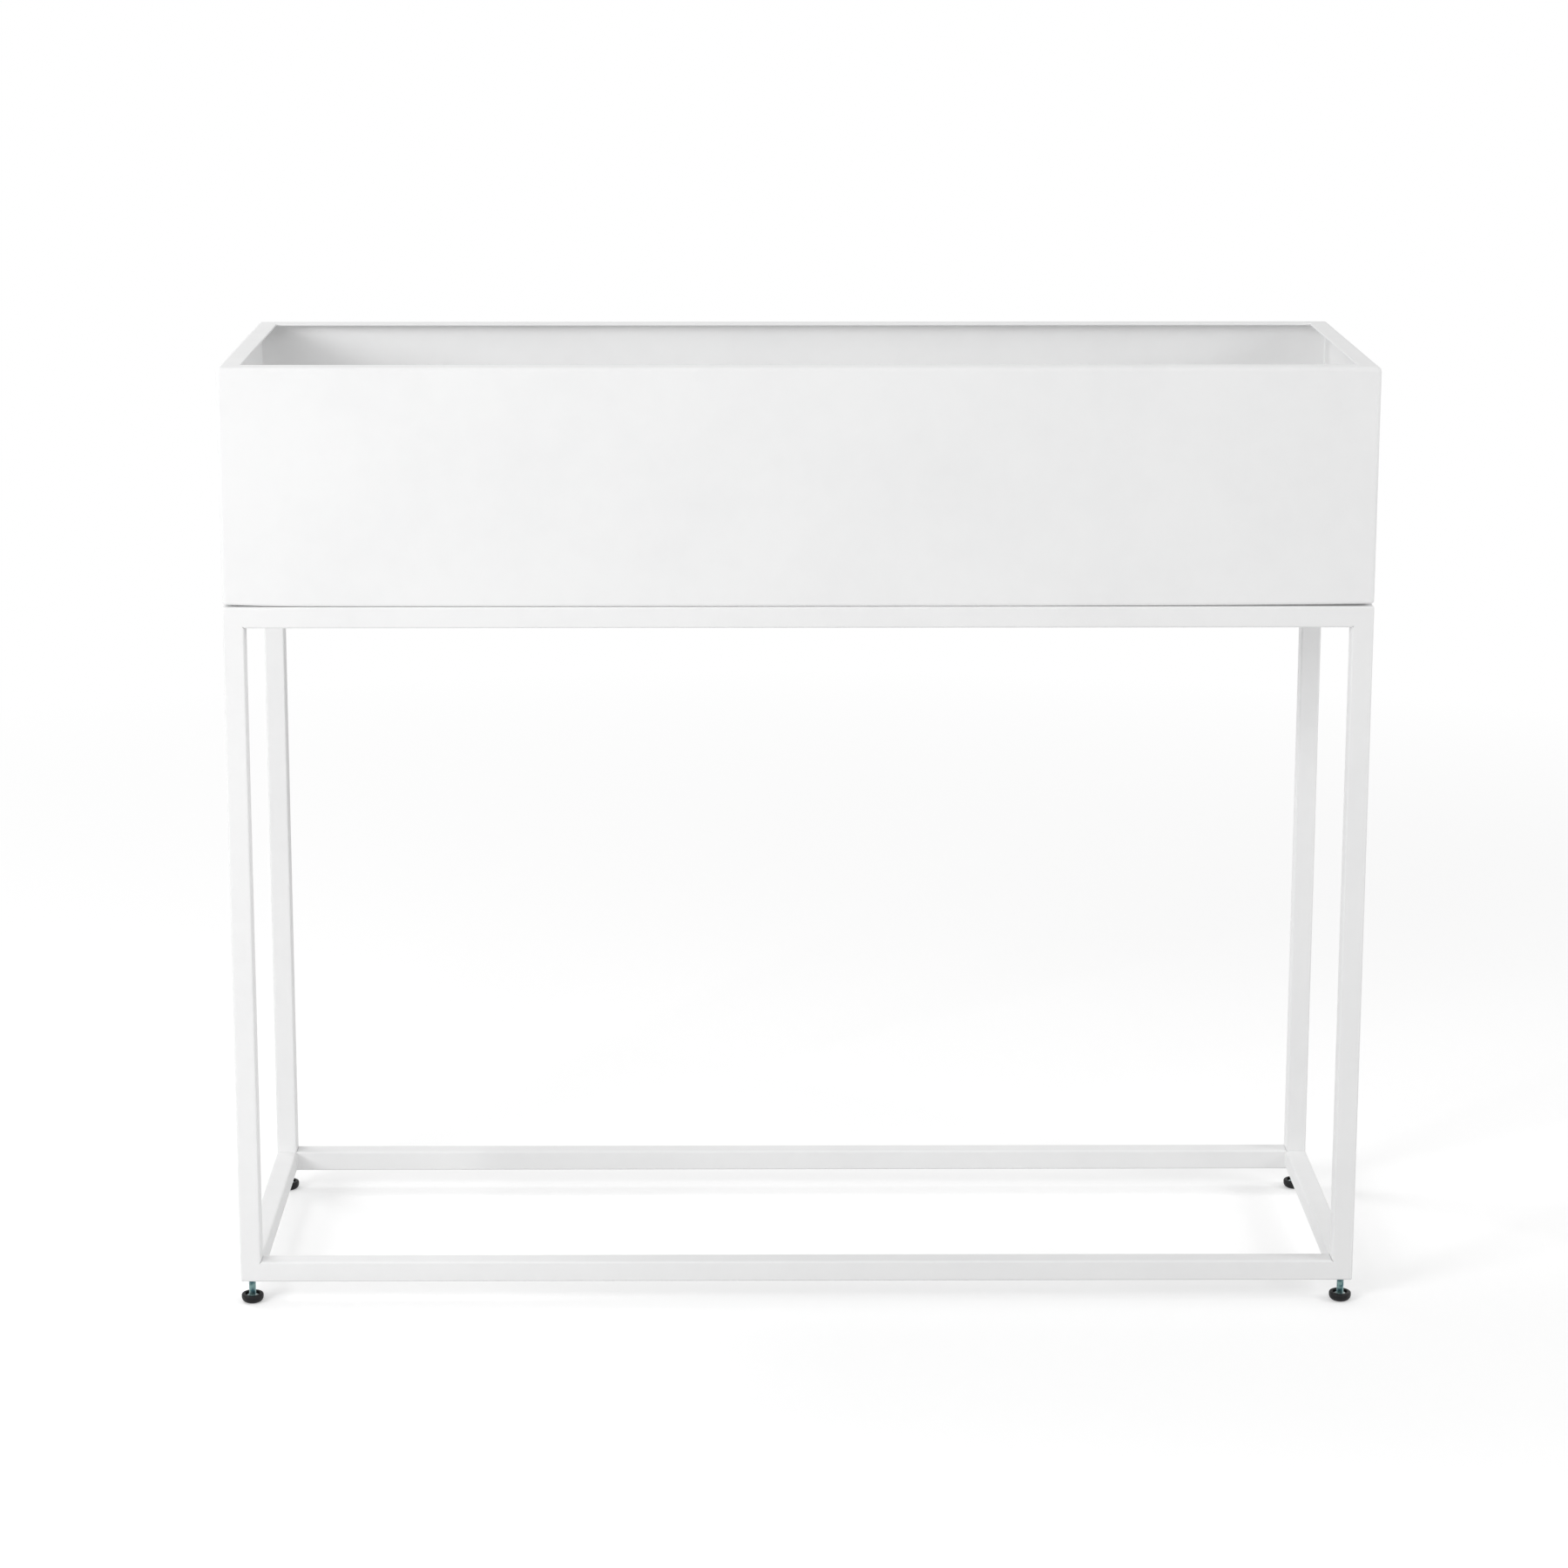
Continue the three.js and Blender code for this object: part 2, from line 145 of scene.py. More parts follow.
# Where each lamp stands, where it points and how large it is.
LAMPS = {
    "front": ((-2.4, -2.2, 1.5), (-0.1, 0.0, 0.4), 1.0),
    "corner": ((-0.7, -1.2, 1.0), (-0.35, 0.0, 0.4), 0.4),
    "right": ((2.4, -0.8, 1.4), (0.1, 0.0, 0.4), 0.8),
    "high": ((-1.6, 0.9, 2.6), (-0.1, 0.0, 0.3), 0.8),
}


def extent(*nodes):
    """Lowest and highest corner of the box round some CAD nodes."""
    boxes = [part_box(node) for node in nodes]
    low = Vector([min(box[0][axis] for box in boxes) for axis in range(3)])
    high = Vector([max(box[1][axis] for box in boxes) for axis in range(3)])
    return low, high


def middle(node):
    """Centre of a CAD node's box."""
    low, high = extent(node)
    return (low + high) / 2


def width(node, axis):
    """Size of a CAD node along one axis."""
    low, high = extent(node)
    return high[axis] - low[axis]


# ---------------------------------------------------------------- sizes and colours


def length(name, description, default):
    return FloatProperty(
        name=name, description=description, default=default, min=0.0, precision=5,
        unit="LENGTH", subtype="DISTANCE",
    )


def factor(name, description, default):
    return FloatProperty(
        name=name, description=description, default=default, min=0.0, max=1.0, subtype="FACTOR",
    )


def colour(name, description, default):
    return FloatVectorProperty(
        name=name, description=description, default=default, size=3, min=0.0, max=1.0,
        subtype="COLOR",
    )


class BoxSizes(bpy.types.PropertyGroup):
    """The folded sheet box."""

    sheet: length("Sheet", "Thickness of the steel sheet", 0.0015)
    rim_fold: length("Rim fold", "Outer radius of the fold at the rim", 0.0035)
    floor_fold: length("Floor fold", "Outer radius of the fold at the floor", 0.0025)
    corner_radius: length("Corner radius", "Outer radius of the upright welded corners", 0.003)
    rim_width: length("Rim width", "Width of the folded flange", width("box_front_wall", 1))
    cut_round: length("Cut edge", "Rounding of the sheet's cut edges by the coat", 0.0004)
    inside_corner: length("Inside corner", "Radius of the weld inside each corner", 0.0006)
    sag: length("Sag", "How far the long walls sag towards the stand", 0.00138)


class StandSizes(bpy.types.PropertyGroup):
    """The welded tube stand."""

    tube: length("Tube", "Outer width of the square tube", width("leg_front_left", 0))
    tube_radius: length("Tube corner", "Outer corner radius of the square tube", 0.0015)
    ground_corner: length("Ground corner", "Radius of the ring corners after grinding", 0.0012)
    inside_corner: length("Inside corner", "Radius of the weld inside each ring corner", 0.0007)
    root: length("Open root", "Depth of the narrow joint left open inside each corner", 0.0012)
    end_chamfer: length("End chamfer", "Chamfer on the ends of the side rails", 0.0005)
    bead: length("Weld bead", "Radius of the beads that hold the side rails", 0.0011)
    grinding: length("Grinding", "How far the outer beads lie under the tube's face", 0.00005)
    bead_step: length("Bead step", "Distance between the ripples of a weld bead", 0.0019)


class FootSizes(bpy.types.PropertyGroup):
    """The levelling feet."""

    radius: length("Base radius", "Widest radius of the plastic base", 0.0079)
    flat_radius: length("Sole radius", "Radius of the base's flat underside", 0.0052)
    edge_radius: length("Edge radius", "Rounding of the base's top edge", 0.0012)
    floor: length("Base floor", "Plastic under the stud's head", 0.0009)
    pocket: length("Pocket", "Height of the undercut for the stud's head", 0.0013)
    lip: length("Lip", "Height of the ring that holds the stud's head", 0.0005)
    hollow_radius: length("Hollow radius", "Radius of the hollow round the hexagon", 0.00522)
    stud_radius: length("Stud radius", "Outer radius of the thread", 0.0025)
    head_radius: length("Head radius", "Radius of the stud's head in the pocket", 0.0034)
    neck_radius: length("Neck radius", "Radius of the stud's neck in the lip", 0.0022)
    pitch: length("Pitch", "Rise of the thread in one turn", 0.0008)
    hexagon: length("Hexagon", "Width of the hexagon across its flats", 0.008)
    hexagon_height: length("Hexagon height", "Height of the hexagon", 0.0018)
    play: length("Play", "Space round the stud's head and over the lip", 0.0003)

    @property
    def hexagon_bottom(self):
        return self.floor + self.pocket + self.lip + self.play

    @property
    def hexagon_top(self):
        return self.hexagon_bottom + self.hexagon_height


class FixingSizes(bpy.types.PropertyGroup):
    """Screws and rivet nuts that hold the box on the stand."""

    screw_radius: length("Screw radius", "Outer radius of the screw's thread", 0.0025)
    head_radius: length("Head radius", "Radius of the screw's button head", 0.0047)
    head_height: length("Head height", "Height of the screw's button head", 0.0027)
    socket: length("Socket", "Width of the screw's hexagon socket", 0.003)
    socket_depth: length("Socket depth", "Depth of the screw's socket", 0.001674)
    socket_chamfer: length("Socket chamfer", "Chamfer round the screw's socket", 0.0001)
    sleeve_radius: length("Sleeve radius", "Radius of the rivet nut's sleeve", 0.0038)
    bulge_radius: length("Bulge radius", "Radius of the rivet nut's upset collar", 0.0052)
    flange_radius: length("Flange radius", "Radius of the rivet nut's flange", 0.0054)
    flange: length("Flange", "Thickness of the rivet nut's flange", 0.0015)
    flange_edge: length("Flange edge", "Chamfer on the rivet nut's flange", 0.0002)
    collar_edge: length("Collar edge", "Rounding of the rivet nut's collar", 0.0003)
    dome: length("Dome", "Rounding of the rivet nut's closed end", 0.0012)


class Finishes(bpy.types.PropertyGroup):
    """Powder coat, zinc and black plastic."""

    coat: colour("Coat", "White powder coat", (0.895, 0.896, 0.896))
    coat_thin: colour("Thin coat", "Powder coat where it lies thinner", (0.865, 0.866, 0.868))
    coat_roughness: factor("Coat roughness", "Roughness of the powder coat", 0.52)
    coat_gloss: factor("Coat gloss", "Strength of the powder coat's gloss", 0.35)
    coat_grain: length("Grain", "Size of the powder coat's fine texture", 0.0009)
    coat_relief: length("Relief", "Height of the powder coat's fine texture", 0.00003)
    coat_cloud: length("Coat clouds", "Size of the small changes in the coat", 0.018)
    coat_drift: length("Coat drift", "Size of the slow changes in the coat", 0.11)
    sheet_wave: length("Sheet waves", "Length of the sheet's faint waves", 0.16)
    sheet_rise: length("Wave height", "Height of the sheet's faint waves", 0.00035)
    zinc: colour("Zinc", "Bright zinc plate", (0.36, 0.50, 0.49))
    zinc_blue: colour("Blue zinc", "Blue passivated patches of the zinc plate", (0.10, 0.21, 0.24))
    # Painted highlight: a lighter zinc colour that stands in for the bright reflection on the stud's
    # hexagon.
    zinc_painted_highlight: colour("Rubbed zinc", "Zinc plate rubbed bright by a spanner", (0.68, 0.76, 0.75))
    zinc_roughness: factor("Zinc roughness", "Least roughness of the zinc plate", 0.24)
    zinc_patch: length("Zinc patches", "Size of the blue passivated patches", 0.0035)
    zinc_grain: length("Zinc grain", "Size of the zinc plate's grain", 0.0004)
    zinc_relief: length("Zinc relief", "Height of the zinc plate's grain", 0.00002)
    plastic: colour("Plastic", "Black moulded plastic", (0.006, 0.006, 0.007))
    plastic_worn: colour("Rubbed plastic", "Black plastic where it is rubbed", (0.02, 0.02, 0.021))
    plastic_roughness: factor("Plastic roughness", "Roughness of the plastic", 0.42)
    plastic_gloss: factor("Plastic gloss", "Strength of the plastic's gloss", 0.25)
    plastic_rub: length("Rubbed spots", "Size of the rubbed spots", 0.004)
    plastic_grain: length("Spark grain", "Size of the spark texture", 0.0003)
    plastic_relief: length("Spark relief", "Height of the spark texture", 0.00003)


class StageSizes(bpy.types.PropertyGroup):
    """Floor, light and camera."""

    floor_radius: length("Floor radius", "Half of the floor's width", 14.0)
    floor_colour: colour("Floor", "Plain pale floor", (0.78, 0.78, 0.78))
    floor_gap: length("Floor gap", "How far the floor lies under the feet", 0.0001)
    floor_glow: FloatProperty(
        name="Floor glow", description="White added to the floor as it is seen", default=0.34,
    )
    fade_start: length("Fade start", "Where the floor starts to turn white", 0.7)
    fade_end: length("Fade end", "Where the floor is plain white", 2.0)
    sky: FloatProperty(
        name="Surrounding light", description="Even light from all round", default=0.525,
    )
    front_power: FloatProperty(
        name="Front power", description="Large lamp in front at the left, in watts", default=36.3,
    )
    corner_power: FloatProperty(
        name="Corner power", description="Lamp close to the left corner, in watts", default=2.3,
    )
    right_power: FloatProperty(
        name="Right power", description="Lamp at the right, in watts", default=16.3,
    )
    high_power: FloatProperty(
        name="High power", description="High lamp behind at the left, in watts", default=15.0,
    )
    camera_place: FloatVectorProperty(
        name="Camera place", description="Where the camera stands", subtype="TRANSLATION",
        default=(-0.0472, -2.7640, 1.0497),
    )
    camera_tilt: FloatProperty(
        name="Camera tilt", description="How far the camera looks down", subtype="ANGLE",
        default=math.radians(11.623),
    )
    camera_turn: FloatProperty(
        name="Camera turn", description="How far the camera looks to the right", subtype="ANGLE",
        default=math.radians(0.268),
    )
    lens: FloatProperty(
        name="Lens", description="Focal length in millimetres on a 36 mm sensor", default=89.124,
    )
    shift_x: FloatProperty(
        name="Shift X", description="Sideways shift of the lens", default=0.0227,
    )
    shift_y: FloatProperty(
        name="Shift Y", description="Upright shift of the lens", default=-0.108,
    )


class PlanterSettings(bpy.types.PropertyGroup):
    """All settings of the planter."""

    box: PointerProperty(type=BoxSizes, name="Box", description="Sizes of the box")
    stand: PointerProperty(type=StandSizes, name="Stand", description="Sizes of the stand")
    foot: PointerProperty(type=FootSizes, name="Feet", description="Sizes of the feet")
    fixing: PointerProperty(type=FixingSizes, name="Fixings", description="Sizes of the fixings")
    finish: PointerProperty(type=Finishes, name="Finishes", description="Colours and textures")
    stage: PointerProperty(type=StageSizes, name="Stage", description="Floor, light, camera")
    facets: IntProperty(
        name="Facets", description="Facets round a turned piece", default=72, min=12,
    )


def settings():
    return bpy.context.scene.planter


# ---------------------------------------------------------------- materials


class Signal:
    """An output socket. Sums and products of signals add Math nodes."""

    def __init__(self, shader, socket):
        self.shader = shader
        self.socket = socket

    def math(self, operation, *values, clamp=False):
        options = {"operation": operation, "use_clamp": clamp}
        return self.shader.node("ShaderNodeMath", options, dict(enumerate(values)))

    def __add__(self, other):
        return self.math("ADD", self, other)

    def __sub__(self, other):
        return self.math("SUBTRACT", self, other)

    def __rsub__(self, other):
        return self.math("SUBTRACT", other, self)

    def __mul__(self, other):
        return self.math("MULTIPLY", self, other)

    __radd__ = __add__
    __rmul__ = __mul__

    def between(self, low, high):
        """0 below low, 1 above high and straight in between."""
        return self.math("DIVIDE", self - low, high - low, clamp=True)

    def higher(self, other):
        return self.math("MAXIMUM", self, other)


class Shader:
    """A material or world that is filled with nodes."""

    def __init__(self, owner):
        owner.use_nodes = True
        self.owner = owner
        self.tree = owner.node_tree
        self.tree.nodes.clear()

    def node(self, kind, options=None, inputs=None, output=0):
        """Adds a node, sets its options, then its inputs, and gives one of its outputs."""
        node = self.tree.nodes.new(kind)
        for option, value in (options or {}).items():
            setattr(node, option, value)
        for name, value in (inputs or {}).items():
            if isinstance(value, Signal):
                self.tree.links.new(value.socket, node.inputs[name])
            else:
                node.inputs[name].default_value = value
        return Signal(self, node.outputs[output]) if len(node.outputs) else None

    def place(self):
        return self.node("ShaderNodeTexCoord", output="Object")

    def noise(self, place, size, detail=2.0, roughness=0.5):
        """Soft noise whose features have about the given size."""
        inputs = {"Vector": place, "Scale": 1.0 / size, "Detail": detail, "Roughness": roughness}
        return self.node("ShaderNodeTexNoise", {}, inputs, "Fac")

    def cells(self, place, size):
        """Round cells of about the given size."""
        inputs = {"Vector": place, "Scale": 1.0 / size, "Randomness": 1.0}
        options = {"feature": "SMOOTH_F1"}
        return self.node("ShaderNodeTexVoronoi", options, inputs, "Distance")

    def blend(self, factor, first, second):
        """The first colour where the factor is 0 and the second where it is 1."""
        inputs = {"Factor": factor, 6: first, 7: second}
        return self.node("ShaderNodeMix", {"data_type": "RGBA"}, inputs, 2)

    def bump(self, height, distance, below=None):
        inputs = {"Height": height, "Distance": distance, "Strength": 1.0}
        if below is not None:
            inputs["Normal"] = below
        return self.node("ShaderNodeBump", {}, inputs)

    def surface(self, **inputs):
        """Ends the material in one Principled shader with these inputs."""
        named = {name.replace("_", " "): value for name, value in inputs.items()}
        shader = self.node("ShaderNodeBsdfPrincipled", {}, named)
        self.node("ShaderNodeOutputMaterial", {}, {"Surface": shader})
        return self.owner


def rgba(value):
    return (*value, 1.0)


def material(name):
    """The named material, emptied, or a new one."""
    return Shader(bpy.data.materials.get(name) or bpy.data.materials.new(name))


def powder_coat():
    """White powder coat: fine orange-peel relief over a faint unevenness of the sheet."""
    finish = settings().finish
    coat = material("powder_coat")
    place = coat.place()
    peel = coat.cells(place, finish.coat_grain * 1.6) * 0.6 + coat.noise(place, finish.coat_grain)
    drift = coat.noise(place, finish.coat_drift, 3.0, 0.55)
    cloud = coat.noise(place, finish.coat_cloud)
    thin = (drift * 0.7 + cloud * 0.3).between(0.42, 0.72)
    sheet = coat.bump(coat.noise(place, finish.sheet_wave, 1.0), finish.sheet_rise)
    return coat.surface(
        Base_Color=coat.blend(thin, rgba(finish.coat), rgba(finish.coat_thin)),
        Roughness=finish.coat_roughness + cloud * 0.08 + peel * 0.05,
        Normal=coat.bump(peel, finish.coat_relief, sheet),
        Specular_IOR_Level=finish.coat_gloss,
    )


def zinc_plate():
    """Zinc plate with blue passivation and a painted highlight, a lighter colour, on the hexagons
    near the floor.
    """
    finish = settings().finish
    foot = settings().foot
    zinc = material("zinc_plate")
    place = zinc.place()
    height = zinc.node("ShaderNodeSeparateXYZ", {}, {"Vector": place}, "Z")
    # Painted highlight: up to its hexagon's top the stud gets the lighter zinc colour in place of a
    # reflection of the bright surroundings.
    rubbed = 1.0 - height.between(foot.hexagon_top, foot.hexagon_top + foot.play)
    patches = zinc.noise(place, finish.zinc_patch, 3.0).between(0.38, 0.62)
    grain = zinc.noise(place, finish.zinc_grain)
    plated = zinc.blend(patches, rgba(finish.zinc), rgba(finish.zinc_blue))
    return zinc.surface(
        Base_Color=zinc.blend(rubbed * (1.0 - patches * 0.4), plated, rgba(finish.zinc_painted_highlight)),
        Roughness=finish.zinc_roughness + patches * 0.12 + grain * 0.1,
        Normal=zinc.bump(grain, finish.zinc_relief),
        Metallic=1.0,
    )


def black_plastic():
    """Black moulded plastic with a fine spark texture and rubbed spots."""
    finish = settings().finish
    plastic = material("black_plastic")
    place = plastic.place()
    spark = plastic.noise(place, finish.plastic_grain)
    rubbed = plastic.noise(place, finish.plastic_rub, 3.0).between(0.55, 0.8)
    return plastic.surface(
        Base_Color=plastic.blend(rubbed, rgba(finish.plastic), rgba(finish.plastic_worn)),
        Roughness=finish.plastic_roughness + spark * 0.16 - rubbed * 0.08,
        Normal=plastic.bump(spark, finish.plastic_relief),
        Specular_IOR_Level=finish.plastic_gloss,
    )


# ---------------------------------------------------------------- meshes


def skin(loops, closed=False, start=False, end=False):
    """A mesh through loops of as many points each: neighbouring loops are joined by quads.

    closed joins the last loop to the first; start and end fill the first and last loop.
    """
    mesh = bmesh.new()
    rows = [[mesh.verts.new(point) for point in loop] for loop in loops]
    following = rows[1:] + rows[:1] if closed else rows[1:]
    for row, after in zip(rows, following):
        for i, corner in enumerate(row):
            j = (i + 1) % len(row)
            mesh.faces.new((corner, row[j], after[j], after[i]))
    if start:
        mesh.faces.new(rows[0][::-1])
    if end:
        mesh.faces.new(rows[-1])
    bmesh.ops.recalc_face_normals(mesh, faces=mesh.faces[:])
    return mesh


def joined(meshes):
    """One mesh made of several."""
    whole = bmesh.new()
    for part in meshes:
        spare = bpy.data.meshes.new("spare")
        part.to_mesh(spare)
        part.free()
        whole.from_mesh(spare)
        bpy.data.meshes.remove(spare)
    return whole


def piece(name, mesh, finish, body, nodes, sharp=SHARP_SHEET, even=True):
    """Makes a mesh an object that rides on a body and stands for CAD nodes.

    sharp is the angle of sharp edges in degrees, and even weights the normals by face area.
    """
    data = bpy.data.meshes.new(name)
    mesh.to_mesh(data)
    mesh.free()
    data.shade_smooth()
    data.set_sharp_from_angle(angle=math.radians(sharp))
    data.materials.append(finish)
    made = bpy.data.objects.new(name, data)
    bpy.context.scene.collection.objects.link(made)
    if even:
        weighted = made.modifiers.new("even_normals", "WEIGHTED_NORMAL")
        weighted.keep_sharp = True
        weighted.weight = 100
    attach(made, body)
    if nodes:
        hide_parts(*nodes)
    return made


def arc(centre, radius, first, last, steps):
    """Points of an arc about a centre, from one angle in degrees to another."""
    for step in range(steps + 1):
        angle = math.radians(first + (last - first) * step / steps)
        yield centre[0] + radius * math.cos(angle), centre[1] + radius * math.sin(angle)


def rounded_rectangle(half_u, half_v, radius, steps):
    """Points of a rounded rectangle about the origin, anticlockwise."""
    u, v = half_u - radius, half_v - radius
    points = []
    for centre, first in (((u, v), 0), ((-u, v), 90), ((-u, -v), 180), ((u, -v), 270)):
        points.extend(arc(centre, radius, first, first + 90, steps))
    return points


def circle(radius, facets):
    """Points of a circle about the origin."""
    return [
        (radius * math.cos(math.tau * i / facets), radius * math.sin(math.tau * i / facets))
        for i in range(facets)
    ]


def hexagon(across, facets):
    """Points of a hexagon about the origin, at even angles."""
    points = []
    for i in range(facets):
        angle = math.tau * i / facets
        off = (angle + math.pi / 6) % (math.pi / 3) - math.pi / 6
        radius = across / 2 / math.cos(off)
        points.append((radius * math.cos(angle), radius * math.sin(angle)))
    return points


def level(points, z, centre):
    """Plane points set at a height round a centre."""
    return [(centre[0] + x, centre[1] + y, z) for x, y in points]


def turned(profile, centre, facets):
    """A closed mesh turned about an upright line from (radius, height) points."""
    loops = [level(circle(radius, facets), z, centre) for radius, z in profile]
    return skin(loops, start=True, end=True)


# ---------------------------------------------------------------- box


def box_section(sizes, height):
    """Closed section of a wall as (inset, height): rim flange, sheet and floor flange."""
    rim = (sizes.rim_fold, height - sizes.rim_fold)
    floor = (sizes.floor_fold, sizes.floor_fold)
    cut = sizes.cut_round
    tip = sizes.rim_width - cut
    yield from arc((tip, height - cut), cut, 0, 90, EDGE_STEPS)
    yield from arc(rim, sizes.rim_fold, 90, 180, FOLD_STEPS)
    yield from arc(floor, sizes.floor_fold, 180, 270, FOLD_STEPS)
    yield from arc((tip, cut), cut, 270, 360, EDGE_STEPS)
    yield from arc((tip, sizes.sheet - cut), cut, 0, 90, EDGE_STEPS)
    yield from arc(floor, sizes.floor_fold - sizes.sheet, 270, 180, INNER_FOLD_STEPS)
    yield from arc(rim, sizes.rim_fold - sizes.sheet, 180, 90, INNER_FOLD_STEPS)
    yield from arc((tip, height - sizes.sheet + cut), cut, 270, 360, EDGE_STEPS)


def long_side(start, end):
    """Points between the two ends of a long side of the box's outline."""
    for step in range(1, SAG_STEPS):
        yield start[0] + (end[0] - start[0]) * step / SAG_STEPS, start[1]


def sagged(share):
    """How far a long wall sags, from 0 at its ends to 1, at a share of its half length."""
    return 1 - abs(share) ** (SAG_LEFT if share < 0 else SAG_RIGHT)


def box_mesh(sizes):
    """The four walls as one welded sheet with rounded corners, whose long sides sag a little."""
    low, high = extent(*WALLS)
    total = high.z - low.z
    back, front = BOX_STEPS + 1, 3 * (BOX_STEPS + 1)
    loops = []
    for inset, height in box_section(sizes, total):
        half_x, half_y = high.x - inset, high.y - inset
        radius = max(sizes.corner_radius - inset, sizes.inside_corner)
        corners = rounded_rectangle(half_x, half_y, radius, BOX_STEPS)
        outline = [
            *corners[:back], *long_side(*corners[back - 1:back + 1]),
            *corners[back:front], *long_side(*corners[front - 1:front + 1]),
            *corners[front:],
        ]
        sag = sizes.sag * (1 - height / total)
        loops.append([(x, y, low.z + height - sag * sagged(x / half_x)) for x, y in outline])
    return skin(loops, closed=True)


class PLANTER_OT_box(bpy.types.Operator):
    """Makes the folded and welded box"""

    bl_idname = "planter.box"
    bl_label = "Box"

    def execute(self, context):
        mesh = box_mesh(settings().box)
        piece("box_shell", mesh, powder_coat(), "planter", WALLS)
        return {"FINISHED"}


class PLANTER_OT_floor(bpy.types.Operator):
    """Coats the floor plate that lies in the box"""

    bl_idname = "planter.floor"
    bl_label = "Floor plate"

    def execute(self, context):
        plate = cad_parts["box_floor"]
        plate.data.materials.clear()
        plate.data.materials.append(powder_coat())
        return {"FINISHED"}


# ---------------------------------------------------------------- stand


def ring_mesh(sizes, nodes):
    """Legs and rails of the front or the back as one ring with ground corners.

    Inside each corner the mitre stays open as a narrow root that fades out at the tube's rounding.
    """
    low, high = extent(*nodes)
    half = sizes.tube / 2
    centre = (low + high) / 2
    section = rounded_rectangle(half, half, sizes.tube_radius, TUBE_STEPS)
    loops = []
    for outwards, across in section:
        share = (outwards + half) / sizes.tube
        radius = sizes.inside_corner + (sizes.ground_corner - sizes.inside_corner) * share
        grow = outwards - half
        outline = rounded_rectangle(
            (high.x - low.x) / 2 + grow, (high.z - low.z) / 2 + grow, radius, TUBE_STEPS,
        )
        depth = sizes.root * max(0.0, 1 - ROOT_FADE * share)
        for i in range(TUBE_STEPS // 2, len(outline), TUBE_STEPS + 1):
            x, z = outline[i]
            outline[i] = (x + math.copysign(depth, x), z + math.copysign(depth, z))
        loops.append([(centre.x + x, centre.y + across, centre.z + z) for x, z in outline])
    return skin(loops, closed=True)


def rail_mesh(sizes, node):
    """A side rail between the rings, open inside and chamfered at both ends."""
    low, high = extent(node)
    centre = (low + high) / 2
    half = sizes.tube / 2
    cut = sizes.end_chamfer
    loops = []
    for y, inset in (
        (low.y, cut), (low.y + cut, 0.0), (low.y + half, 0.0),
        (high.y - half, 0.0), (high.y - cut, 0.0), (high.y, cut),
    ):
        radius = sizes.tube_radius - inset
        section = rounded_rectangle(half - inset, half - inset, radius, TUBE_STEPS)
        loops.append([(centre.x + x, y, centre.z + z) for x, z in section])
    return skin(loops)


def bead_mesh(sizes, start, end, ground=None):
    """A rippled weld bead along a straight joint, ground flat at a distance along X if asked."""
    along = end - start
    steps = max(8, round(along.length / sizes.bead_step * RIPPLE_RINGS))
    side = along.normalized().orthogonal().normalized()
    other = along.normalized().cross(side)
    loops = []
    for step in range(steps + 1):
        share = step / steps
        ripple = math.cos(math.tau * share * along.length / sizes.bead_step)
        taper = min(1.0, BEAD_RISE * share + BEAD_END, BEAD_RISE * (1 - share) + BEAD_END)
        radius = sizes.bead * taper * (1 + RIPPLE_HEIGHT * ripple)
        place = start + along * share
        loops.append([place + side * u + other * v for u, v in circle(radius, BEAD_FACETS)])
    if ground is not None:
        for loop in loops:
            for point in loop:
                point.x = math.copysign(min(abs(point.x), ground), point.x)
    return skin(loops, start=True, end=True)


def side_rail_beads(sizes, node):
    """Beads at both ends of a side rail: inside, flat underneath and, ground flush, outside."""
    low, high = extent(node)
    inner = high.x if high.x < 0 else low.x
    outer = low.x if high.x < 0 else high.x
    edge = sizes.tube_radius
    towards = math.copysign(edge, outer - inner)
    sunk = math.copysign(sizes.bead * BEAD_SUNK, outer - inner)
    under = low.z + sizes.bead * BEAD_UNDER
    for y, ring in ((low.y, -1), (high.y, 1)):
        groove = y + ring * sizes.bead * BEAD_GROOVE
        for x, place in ((inner, y), (outer - sunk, groove)):
            yield bead_mesh(
                sizes, Vector((x, place, low.z + edge)), Vector((x, place, high.z - edge)),
                abs(outer) - sizes.grinding,
            )
        yield bead_mesh(
            sizes, Vector((inner + towards, y, under)), Vector((outer - towards, y, under)),
        )


class PLANTER_OT_stand(bpy.types.Operator):
    """Makes the front and back rings, the side rails and their weld beads"""

    bl_idname = "planter.stand"
    bl_label = "Stand"

    def execute(self, context):
        sizes = settings().stand
        coat = powder_coat()
        for end, nodes in END_RAILS.items():
            mesh = ring_mesh(sizes, nodes)
            piece(f"stand_{end}_ring", mesh, coat, "planter", nodes)
        for node in SIDE_RAILS:
            mesh = rail_mesh(sizes, node)
            piece(f"{node}_coated", mesh, coat, "planter", [node])
            beads = joined(side_rail_beads(sizes, node))
            piece(
                f"{node}_welds", beads, coat, "planter", [], SHARP_WELD, False,
            )
        return {"FINISHED"}


# ---------------------------------------------------------------- levelling feet


